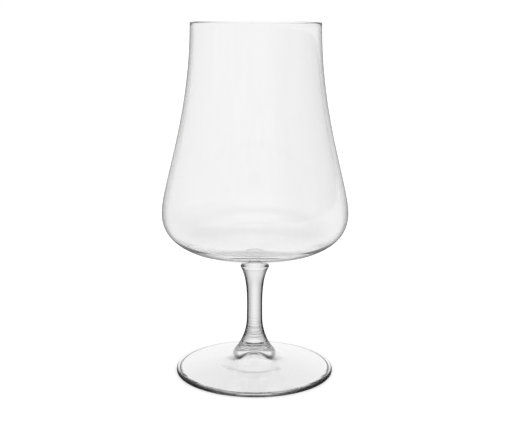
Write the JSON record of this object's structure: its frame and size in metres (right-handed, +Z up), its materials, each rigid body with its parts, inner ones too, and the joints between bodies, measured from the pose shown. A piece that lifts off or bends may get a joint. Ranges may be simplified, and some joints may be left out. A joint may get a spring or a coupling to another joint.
{
  "type": "beer glass",
  "caption": "Clear stemmed beer glass: a low-bellied bowl that draws in to a plain rim, on a short waisted stem with a collar and a shallow conical foot.",
  "frame": {"origin": "middle of the ring that the foot stands on", "axes": "+Z up along the glass's axis, from the foot to the rim; the glass is the same all round, so +X and +Y are free"},
  "size_m": [0.095, 0.095, 0.18],
  "materials": {
    "clear_glass": "clear, smooth and fire-polished"
  },
  "bodies": {
    "root": {"beer_glass": "clear_glass"}
  },
  "joints": []
}
